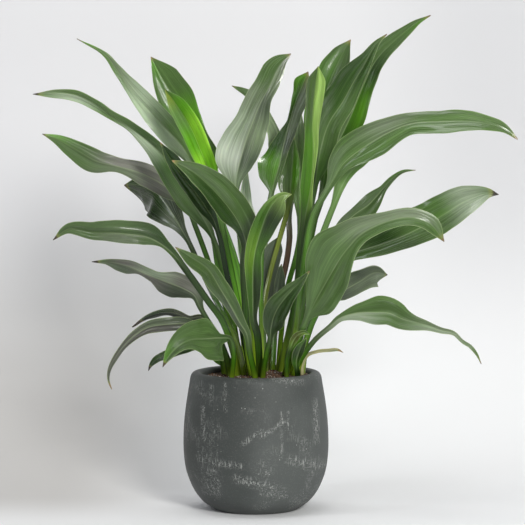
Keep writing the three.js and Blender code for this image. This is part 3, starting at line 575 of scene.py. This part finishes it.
def leafTint(leaf, v, stalkShare, bladeShare, flat, upper):
    # the colour of one point, before its veins and streaks
    # each half takes the colours listed for it, painted light and shade included
    left, right = [paletteAlong(names, bladeShare) for names in leaf["tint"]]
    w = smoothStep(v, -0.12, 0.12)
    under = (1 - upper) * leafKinds[leaf["kind"]]["under"]
    greyed = linearColour(leafPalette["grey"])
    blade = [mix(mix(a, b, w), g, under) for a, b, g in zip(left, right, greyed)]
    stalk = paletteAlong(leaf["stalkTint"], stalkShare)
    # painted shade: a stalk is darker towards its sides, where it turns from the light and its neighbours
    # crowd it
    sides = mix(1 - leafForm["stalkSidePaintedShade"] * smoothStep(abs(v), 0.35, 1), 1, flat) * leaf["tone"]
    return [mix(a, b, flat) * sides for a, b in zip(stalk, blade)][:3] + [1.0]


def leafMesh(name, leaf):
    form = leafForm
    blade, fold, stalk = leaf["blade"], math.radians(leaf["fold"]), leaf["stalk"]
    shares = [blade * i / form["stalkRings"] for i in range(form["stalkRings"])]
    shares += [mix(blade, 1, i / form["bladeRings"]) for i in range(form["bladeRings"] + 1)]
    route = leafRoute(leaf)
    places, length = evenPlaces(route, shares)
    eye, count, seed = Vector(form["eye"]), form["across"], leaf["seed"]
    points, tints, marks = [], [], {key: [] for key in leafMarks}
    for share, place in zip(shares, places):
        low, high = max(place - 1e-4, 0), min(place + 1e-4, 1)
        point = splinePoint(route, place)
        tangent = (splinePoint(route, high) - splinePoint(route, low)).normalized()
        right = tangent.cross(eye - point).normalized()
        face = right.cross(tangent).normalized()
        bladeShare = min(max((share - blade) / (1 - blade), 0), 1)
        roll = math.radians(along([0] + leaf["roll"], bladeShare))
        side = right * math.cos(roll) + face * math.sin(roll)
        up = face * math.cos(roll) - right * math.sin(roll)
        flat = smoothStep(share, blade - form["blendBefore"], blade + form["blendAfter"])
        bend = fold * flat
        rise = math.sin(math.pi * bladeShare) * leaf["wave"]
        halves = {}
        for sign, widths, (turns, start) in ((-1, leaf["left"], form["leftWave"]),
                                             (1, leaf.get("right", leaf["left"]), form["rightWave"])):
            seen = mix(stalk, along([stalk] + widths + [form["tip"]], bladeShare), flat)
            wave = math.sin(2 * math.pi * (bladeShare * turns + start)) * rise
            halves[sign] = (max(seen, form["tip"]) * math.cos(bend) / math.cos(bend + sign * roll), wave)
        curl = leaf["curl"] * flat
        pleats = leaf["pleat"] * flat * math.sin(math.pi * bladeShare) ** 0.5
        pleats = pleats * min(halves[-1][0] + halves[1][0], 30) / 30  # less on a narrow blade
        for upper in (1, 0):
            for j in range(count + 1):
                v = (2 * j / count - 1) * (1 if upper else -1)
                v = mix(math.sin(v * math.pi / 2), v, flat)  # closer together at a stalk's rounded sides
                size = abs(v)
                width, wave = halves[-1 if v < 0 else 1]
                lift = width * math.sin(bend) * size * (1 + curl * (1 - size)) + wave * size ** 1.5
                spot = Vector((v * form["pleatCount"] + seed, bladeShare * form["pleatLength"], seed))
                lift += pleats * noise.noise(spot)
                ripple = math.sin(length * bladeShare / form["rippleLength"] + v * 2)
                lift += form["ripple"] * flat * size ** 4 * ripple
                rib = math.exp(-(v * width / form["midribWidth"]) ** 2)
                if upper:
                    top = form["edge"] / 2 - form["midribTop"] * rib
                    thick = mix(stalk * mix(0.3, 0.45, size ** 2), top, flat)
                    thick *= 1 - 0.15 * size ** 8
                else:
                    keel = form["edge"] / 2 + form["midribKeel"] * mix(1, 0.3, bladeShare) * rib
                    rounded = stalk * 0.95 * math.sqrt(max(1 - v * v, 0)) - stalk * 0.2 * size
                    thick = -mix(rounded, keel, flat)
                position = point + side * (v * width * math.cos(bend)) + up * (lift + thick)
                points.append(position * mm)
                values = (v, v * width, (1 - size) * width, share, bladeShare, 1 - flat, upper)
                for key, value in zip(marks, values):
                    marks[key].append(value)
                tints += leafTint(leaf, v, share / blade, bladeShare, flat, upper)
    ring = 2 * (count + 1)
    rows = len(shares)
    faces = ringFaces(rows, ring)
    faces.append(tuple(reversed(range(ring))))
    faces.append(tuple(range((rows - 1) * ring, rows * ring)))
    mesh = newMesh(name, points, faces, form["sharp"])
    marks.update({key: [leaf[key]] * len(points) for key in ("dry", "char", "seed")})
    for key, values in marks.items():
        mesh.attributes.new(key, "FLOAT", "POINT").data.foreach_set("value", values)
    mesh.attributes.new("tint", "FLOAT_COLOR", "POINT").data.foreach_set("color", tints)
    layer = mesh.uv_layers.new(name="leafMap")
    for loop in mesh.loops:
        i = loop.vertex_index
        layer.data[loop.index].uv = ((marks["across"][i] + 1) / 4 + (0.5 if marks["upper"][i] else 0),
                                     marks["share"][i])
    return mesh


def leafMaterial(kind, look):
    # waxy living leaf: a satin skin over long parallel veins, thin pale edges that paint a rim highlight, and
    # a tip that has dried
    material, tree, shader, place = newMaterial(kind + "Leaf")
    mark = {key: addNode(tree, "ShaderNodeAttribute", attribute_name=key).outputs["Fac"]
            for key in leafMarks + ("dry", "char", "seed")}
    tint = addNode(tree, "ShaderNodeAttribute", attribute_name="tint").outputs["Color"]

    def lengthwise(acrossScale, alongScale, detail, roughness):
        # noise drawn out along the leaf, different on each one
        inputs = {0: timesOut(tree, mark["across"], acrossScale),
                  1: timesOut(tree, mark["share"], alongScale), 2: mark["seed"]}
        spread = addNode(tree, "ShaderNodeCombineXYZ", inputs).outputs[0]
        return noiseOut(tree, spread, 1.0, detail=detail, roughness=roughness)

    streak = lengthwise(*leafShader["streaks"], 5.0, 0.7)
    broad = lengthwise(*leafShader["broad"], 2.0, 0.5)
    fine = noiseOut(tree, place, 420.0, detail=2.0)
    line = mathOut(tree, "PINGPONG", timesOut(tree, mark["across"], leafShader["veins"]), 0.5)
    vein = timesOut(tree, rangeOut(tree, line, 0.14, 0.0), rangeOut(tree, streak, 0.4, 0.62))
    blade = mathOut(tree, "SUBTRACT", 1.0, mark["stalk"])

    light = mathOut(tree, "ADD", rangeOut(tree, streak, 0.3, 0.7, 0.82, 1.18),
                    rangeOut(tree, broad, 0.3, 0.7, -0.16, 0.16))
    colour = vectorOut(tree, "SCALE", {0: tint, 3: light})
    paler = mixOut(tree, 0.5, tint, leafShader["vein"])
    veined = timesOut(tree, timesOut(tree, vein, blade), leafShader["veinStrength"])
    colour = mixOut(tree, veined, colour, paler)
    midrib = rangeOut(tree, mathOut(tree, "ABSOLUTE", mark["acrossMm"]), 1.3, 0.3)
    midrib = timesOut(tree, timesOut(tree, midrib, blade),
                      rangeOut(tree, mark["bladeShare"], 1.0, 0.3, 0.1, leafShader["midribStrength"]))
    colour = mixOut(tree, midrib, colour, paler)
    # painted highlight: the blade is paler along its rims
    edge = timesOut(tree, rangeOut(tree, mark["margin"], 0.8, 0.1), blade)
    colour = mixOut(tree, timesOut(tree, edge, leafShader["rimHighlightStrength"]), colour, leafShader["edge"])

    tipStart = mathOut(tree, "SUBTRACT", 1.0, mark["dry"])
    uneven = timesOut(tree, mathOut(tree, "SUBTRACT", streak, 0.5), 0.05)
    ragged = mathOut(tree, "ADD", mark["bladeShare"], uneven)
    pastTip = mathOut(tree, "SUBTRACT", ragged, tipStart)
    colour = mixOut(tree, rangeOut(tree, pastTip, -0.03, 0.0, 0.0, 0.35), colour, leafShader["fading"])
    brown = mixOut(tree, mark["char"], leafShader["dried"], leafShader["charred"])
    colour = mixOut(tree, rangeOut(tree, pastTip, -0.004, 0.01), colour, brown)

    satin = mathOut(tree, "ADD", look["rough"], timesOut(tree, streak, 0.14))
    dull = timesOut(tree, mathOut(tree, "SUBTRACT", 1.0, mark["upper"]), 0.12)
    relief = mathOut(tree, "ADD", timesOut(tree, line, 0.3), timesOut(tree, streak, 1.2))
    relief = mathOut(tree, "ADD", relief, timesOut(tree, fine, 0.1))
    setInputs(tree, shader, {
        "Base Color": colour, "Roughness": mathOut(tree, "ADD", satin, dull, clamp=True),
        "Specular IOR Level": leafShader["specular"], "Coat Weight": look["coat"],
        "Coat Roughness": leafShader["coatRoughness"], "Subsurface Weight": 0.1,
        "Subsurface Radius": (0.5, 1.0, 0.2), "Subsurface Scale": 0.0012,
        "Normal": bumpOut(tree, relief, 0.6, leafShader["bump"])})
    return material


leafMaterials = {kind: leafMaterial(kind, look) for kind, look in leafKinds.items()}
for number, (name, leaf) in enumerate(leaves.items()):
    leaf = {**leafDefaults, **leaf, "seed": number * 3.7}
    kind = leaf["kind"]
    newPiece(name.replace("leaf_", "leafBlade"), leafMesh(name, leaf), leafMaterials[kind],
             leaf.get("slot", leafKinds[kind]["slot"]), name)
print("leaves:", len(leaves))


# Planter: one cast fiberclay shell, turned on its axis. Its profile runs from the base up the outside,
# over the round lip and down the inside, as radius and height.

planter = {"outside": [(50, 0), (54.5, 0.7), (58, 2.5), (68, 9.5), (78, 21), (86, 36.5), (91.5, 54),
                       (94, 76), (94, 97), (92.6, 119), (90, 141), (86.6, 162), (84.2, 174), (81.6, 177.3),
                       (78, 178.5)],
           "inside": [(74, 178.5), (71.4, 177.2), (70, 174), (71, 166), (75, 145), (79, 119), (81, 97),
                      (81, 76), (78, 54), (72, 37), (62, 24), (48, 16), (30, 13)],
           "sides": 192, "steps": 5, "handCast": 0.25, "sharp": 50,
           "colour": "#3F4341", "light": "#545856", "chalk": "#B4B6B2", "pit": "#2E302F",
           "ticks": (640.0, 640.0, 95.0), "bands": (170.0, 170.0, 800.0), "curls": 210.0, "wear": 24.0,
           "dots": 230.0, "pits": 110.0, "chalkStrength": 0.6, "dotStrength": 0.8, "pitShadeStrength": 0.6,
           "specular": 0.4, "bump": 0.0005}
# chalky rubs on the front, each from one point to another in x and z, and half its width
rubs = [((33, 136), (33, 80), 2.5), ((41, 136), (41, 114), 2), ((-17, 97), (8, 114), 4),
        ((8, 106), (35, 124), 4), ((43, 76), (86, 62), 8), ((-72, 74), (-20, 68), 6),
        ((-24, 52), (22, 40), 8), ((76, 146), (78, 95), 5), ((8, 33), (38, 27), 5),
        ((-39, 172), (-38, 138), 3), ((-57, 168), (-57, 150), 4), ((-68, 140), (-66, 100), 4),
        ((20, 180), (58, 172), 5)]


def smoothProfile(points, steps):
    line = [Vector((r, 0, z)) for r, z in points]
    count = (len(points) - 1) * steps
    return [splinePoint(line, i / count) for i in range(count + 1)]


def planterMesh():
    profile = smoothProfile(planter["outside"] + planter["inside"], planter["steps"])
    sides = planter["sides"]
    points = []
    for p in profile:
        for cosine, sine in directions(sides):
            out = Vector((cosine, sine, 0))
            uneven = noise.noise(Vector((out.x * 2.2, out.y * 2.2, p.z / 45))) * planter["handCast"]
            uneven *= smoothStep(p.z, 4, 20)
            points.append((out * (p.x + uneven) + Vector((0, 0, p.z))) * mm)
    faces = ringFaces(len(profile), sides)
    points += [Vector((0, 0, 0)), Vector((0, 0, profile[-1].z * mm))]
    under, floor = len(points) - 2, len(points) - 1
    last = (len(profile) - 1) * sides
    faces += [(under, (i + 1) % sides, i) for i in range(sides)]
    faces += [(floor, last + i, last + (i + 1) % sides) for i in range(sides)]
    return newMesh("planter", points, faces, planter["sharp"])


def nearLine(tree, seen, start, end, width):
    # 1 on the line from start to end across the front, fading to 0 at its width
    first = Vector((start[0], 0, start[1])) * mm
    whole = Vector((end[0], 0, end[1])) * mm - first
    away = vectorOut(tree, "SUBTRACT", {0: seen, 1: first})
    share = vectorOut(tree, "DOT_PRODUCT", {0: away, 1: whole / whole.length_squared})
    share = mathOut(tree, "ADD", share, 0.0, clamp=True)
    nearest = vectorOut(tree, "SCALE", {0: whole, 3: share})
    gap = vectorOut(tree, "DISTANCE", {0: away, 1: nearest})
    return rangeOut(tree, gap, width * mm * 1.3, 0.0)


def planterMaterial():
    # fiberclay: clay and glass fibre cast in a mould, matt and even, with chalky rubs, ticks and specks;
    # painted light makes it lighter to the right and darker to the left, and painted shade darkens its pits
    material, tree, shader, place = newMaterial("fiberclay")
    cloud = noiseOut(tree, place, 9.0, detail=3.0, roughness=0.5)
    grain = noiseOut(tree, place, 600.0, detail=4.0, roughness=0.7)
    x, y, z = addNode(tree, "ShaderNodeSeparateXYZ", {0: place}).outputs
    # painted light and shade: lighter towards the right side and darker towards the left, added to the mottle
    cloud = mathOut(tree, "ADD", cloud, rangeOut(tree, x, -0.09, 0.09, -0.12, 0.12))
    colour = mixOut(tree, rangeOut(tree, cloud, 0.35, 0.65), planter["colour"], planter["light"])
    colour = mixOut(tree, rangeOut(tree, grain, 0.5, 0.75, 0.0, 0.1), colour, planter["chalk"])

    # upright ticks, level ones and curled scratches, where the surface is worn
    level = timesOut(tree, rangeOut(tree, drawnOut(tree, place, planter["bands"]), 0.6, 0.64), 0.7)
    flecks = rangeOut(tree, drawnOut(tree, place, planter["ticks"]), 0.58, 0.62)
    flecks = mathOut(tree, "MAXIMUM", flecks, level)
    curl = noiseOut(tree, place, planter["curls"], detail=2.0, distortion=1.6)
    curl = mathOut(tree, "ABSOLUTE", mathOut(tree, "SUBTRACT", curl, 0.5))
    flecks = mathOut(tree, "MAXIMUM", flecks, rangeOut(tree, curl, 0.016, 0.004))
    worn = rangeOut(tree, noiseOut(tree, place, planter["wear"], detail=4.0), 0.49, 0.7, 0.0, 0.62)
    seen = addNode(tree, "ShaderNodeCombineXYZ", {0: x, 1: 0.0, 2: z}).outputs[0]
    front = rangeOut(tree, y, 0.0, -0.02)
    for start, end, width in rubs:
        near = timesOut(tree, nearLine(tree, seen, start, end, width), front)
        worn = mathOut(tree, "MAXIMUM", worn, near)
    chalky = timesOut(tree, timesOut(tree, flecks, worn), planter["chalkStrength"])

    # pale specks in a few cells, and pits in others, painted darker as the shade in them
    cell = addNode(tree, "ShaderNodeTexVoronoi", {"Vector": place, "Scale": planter["dots"]}).outputs
    few = addNode(tree, "ShaderNodeSeparateXYZ", {0: cell["Color"]}).outputs[0]
    dots = timesOut(tree, rangeOut(tree, cell["Distance"], 0.2, 0.1), rangeOut(tree, few, 0.72, 0.8))
    dots = timesOut(tree, dots, rangeOut(tree, noiseOut(tree, place, 26.0, detail=1.0), 0.48, 0.6))
    chalky = mathOut(tree, "MAXIMUM", chalky, timesOut(tree, dots, planter["dotStrength"]))
    colour = mixOut(tree, chalky, colour, planter["chalk"])
    cell = addNode(tree, "ShaderNodeTexVoronoi", {"Vector": place, "Scale": planter["pits"]}).outputs
    pit = timesOut(tree, rangeOut(tree, cell["Distance"], 0.1, 0.04),
                   rangeOut(tree, noiseOut(tree, place, 30.0, detail=1.0), 0.5, 0.6))
    colour = mixOut(tree, timesOut(tree, pit, planter["pitShadeStrength"]), colour, planter["pit"])
    relief = mathOut(tree, "SUBTRACT", timesOut(tree, grain, 0.25), pit)
    relief = mathOut(tree, "SUBTRACT", relief, timesOut(tree, chalky, 0.4))
    setInputs(tree, shader, {
        "Base Color": colour, "Roughness": rangeOut(tree, cloud, 0.3, 0.7, 0.56, 0.7),
        "Specular IOR Level": planter["specular"], "Normal": bumpOut(tree, relief, 0.4, planter["bump"])})
    return material


newPiece("planter", planterMesh(), planterMaterial(), "pot", "pot")
print("planter")


# Soil: a mounded bed that fills the planter, with crumbs, bark and perlite strewn over it.
# count is the number of bits to a square metre, and vary how far their sizes go from the mean.

soil = {"edgeHeight": 170, "moundHeight": 6.5, "moundCentre": (20, 12), "moundSpread": 52, "radius": 69.6,
        "rings": 34, "sides": 96, "uneven": 1.6, "depth": 40, "colours": ("#1E1511", "#3D2C22"),
        "rough": 0.9, "grain": 260.0, "bump": 0.0006}
strewn = {
    "soilCrumbs": dict(count=360000.0, size=1.5, vary=0.54, stretch=(1.0, 0.85, 0.7), seed=4,
                       colours=("#241A14", "#7A5F4A"), rough=0.85, grain=300.0),
    "barkChips": dict(count=14000.0, size=3.0, vary=0.36, stretch=(1.6, 0.8, 0.4), seed=11,
                      colours=("#3B2618", "#7A563C"), rough=0.85, grain=300.0),
    "perliteBits": dict(count=34000.0, size=1.3, vary=0.3, stretch=(1.0, 0.9, 0.8), seed=23,
                        colours=("#CFC8BE", "#F2EFEA"), rough=0.85, grain=300.0),
}


def soilHeight(x, y):
    cx, cy = soil["moundCentre"]
    away = math.hypot(x - cx, y - cy) / soil["moundSpread"]
    lump = noise.noise(Vector((x / 9, y / 9, 3.1))) + 0.5 * noise.noise(Vector((x / 4, y / 4, 7.7)))
    edge = smoothStep(math.hypot(x, y), soil["radius"], soil["radius"] - 9)
    return soil["edgeHeight"] + soil["moundHeight"] * math.exp(-away * away) + soil["uneven"] * lump * edge


def soilMesh():
    rings, sides, radius = soil["rings"], soil["sides"], soil["radius"]
    low = soil["edgeHeight"] - soil["depth"]
    places = [(0, 0)]
    places += [(radius * k / rings * c, radius * k / rings * s) for k in range(1, rings + 1)
               for c, s in directions(sides)]
    points = [Vector((x, y, soilHeight(x, y))) * mm for x, y in places]
    points += [Vector((radius * c, radius * s, low)) * mm for c, s in directions(sides)]
    points.append(Vector((0, 0, low)) * mm)
    faces = [(0, 1 + i, 1 + (i + 1) % sides) for i in range(sides)]
    for k in range(rings):
        a, b = 1 + k * sides, 1 + (k + 1) * sides
        faces += [(a + i, b + i, b + (i + 1) % sides, a + (i + 1) % sides) for i in range(sides)]
    base = 1 + rings * sides
    faces += [(len(points) - 1, base + (i + 1) % sides, base + i) for i in range(sides)]
    return newMesh("soilBed", points, faces)


def soilMaterial(name, look):
    # damp potting mix: the same grain at the size of the bits, from dark to light
    material, tree, shader, place = newMaterial(name)
    dark, light = look["colours"]
    patch = noiseOut(tree, place, look["grain"], detail=4.0, roughness=0.7)
    speck = noiseOut(tree, place, look["grain"] * 4, detail=2.0)
    colour = mixOut(tree, rangeOut(tree, patch, 0.35, 0.65), dark, light)
    setInputs(tree, shader, {
        "Base Color": mixOut(tree, rangeOut(tree, speck, 0.3, 0.5, 0.5, 0.0), colour, dark),
        "Roughness": look["rough"], "Normal": bumpOut(tree, speck, 0.5, soil["bump"])})
    return material


def strewingTree():
    # scatters stretched, lumpy bits over the upward faces of the bed
    tree = bpy.data.node_groups.new("strewing", "GeometryNodeTree")
    for name, kind in (("Bed", "Geometry"), ("Count per m2", "Float"), ("Size", "Float"), ("Vary", "Float"),
                       ("Stretch", "Vector"), ("Seed", "Int")):
        tree.interface.new_socket(name, in_out="INPUT", socket_type="NodeSocket" + kind)
    tree.interface.new_socket("Bits", in_out="OUTPUT", socket_type="NodeSocketGeometry")
    given = addNode(tree, "NodeGroupInput").outputs
    normal = addNode(tree, "GeometryNodeInputNormal").outputs[0]
    upward = addNode(tree, "ShaderNodeSeparateXYZ", {0: normal}).outputs[2]
    facing = addNode(tree, "FunctionNodeCompare", {0: upward, 1: 0.4}, data_type="FLOAT",
                     operation="GREATER_THAN").outputs[0]
    spread = addNode(tree, "GeometryNodeDistributePointsOnFaces",
                     {"Mesh": given["Bed"], "Selection": facing, "Density": given["Count per m2"],
                      "Seed": given["Seed"]}, distribute_method="RANDOM")

    ball = addNode(tree, "GeometryNodeMeshIcoSphere", {"Radius": 1.0, "Subdivisions": 1}).outputs[0]
    place = addNode(tree, "GeometryNodeInputPosition").outputs[0]
    lump = addNode(tree, "ShaderNodeTexNoise", {"Vector": place, "Scale": 1.3, "Detail": 1.0}).outputs
    push = vectorOut(tree, "SUBTRACT", {0: lump["Color"], 1: (0.5, 0.5, 0.5)})
    push = vectorOut(tree, "SCALE", {0: push, 3: 1.4})
    lumpy = addNode(tree, "GeometryNodeSetPosition", {"Geometry": ball, "Offset": push}).outputs[0]
    shaped = addNode(tree, "GeometryNodeTransform", {"Geometry": lumpy, "Scale": given["Stretch"]}).outputs[0]

    turn = addNode(tree, "FunctionNodeRandomValue", {"Min": (0.0,) * 3, "Max": (6.28,) * 3, "Seed": 5},
                   data_type="FLOAT_VECTOR").outputs[0]
    least = timesOut(tree, given["Size"], mathOut(tree, "SUBTRACT", 1.0, given["Vary"]))
    most = timesOut(tree, given["Size"], mathOut(tree, "ADD", 1.0, given["Vary"]))
    scale = addNode(tree, "FunctionNodeRandomValue", {2: least, 3: most, "Seed": 9},
                    data_type="FLOAT").outputs[1]
    bits = addNode(tree, "GeometryNodeInstanceOnPoints",
                   {"Points": spread.outputs["Points"], "Instance": shaped, "Rotation": turn,
                    "Scale": scale}).outputs[0]
    addNode(tree, "NodeGroupOutput", {0: addNode(tree, "GeometryNodeRealizeInstances", {0: bits}).outputs[0]})
    return tree


def strewnMesh(name, look, bedMesh, tree):
    bed = newObject(name, bedMesh.copy())
    modifier = bed.modifiers.new("strewing", "NODES")
    modifier.node_group = tree
    values = {"Count per m2": look["count"], "Size": look["size"] * mm / 2, "Vary": look["vary"],
              "Stretch": look["stretch"], "Seed": look["seed"]}
    for item in tree.interface.items_tree:
        if item.in_out == "INPUT" and item.name in values:
            modifier[item.identifier] = values[item.name]
    evaluated = bed.evaluated_get(bpy.context.evaluated_depsgraph_get())
    mesh = bpy.data.meshes.new_from_object(evaluated)
    bpy.data.objects.remove(bed)
    mesh.name = name
    mesh.materials.clear()
    return mesh


bedMesh = soilMesh()
newPiece("soilBed", bedMesh, soilMaterial("dampSoil", soil), "soil", "soil")
strewing = strewingTree()
for name, look in strewn.items():
    mesh = strewnMesh(name, look, bedMesh, strewing)
    newPiece(name, mesh, soilMaterial(name, look), "soil")
    print(name, len(mesh.polygons), "faces")
print("soil")
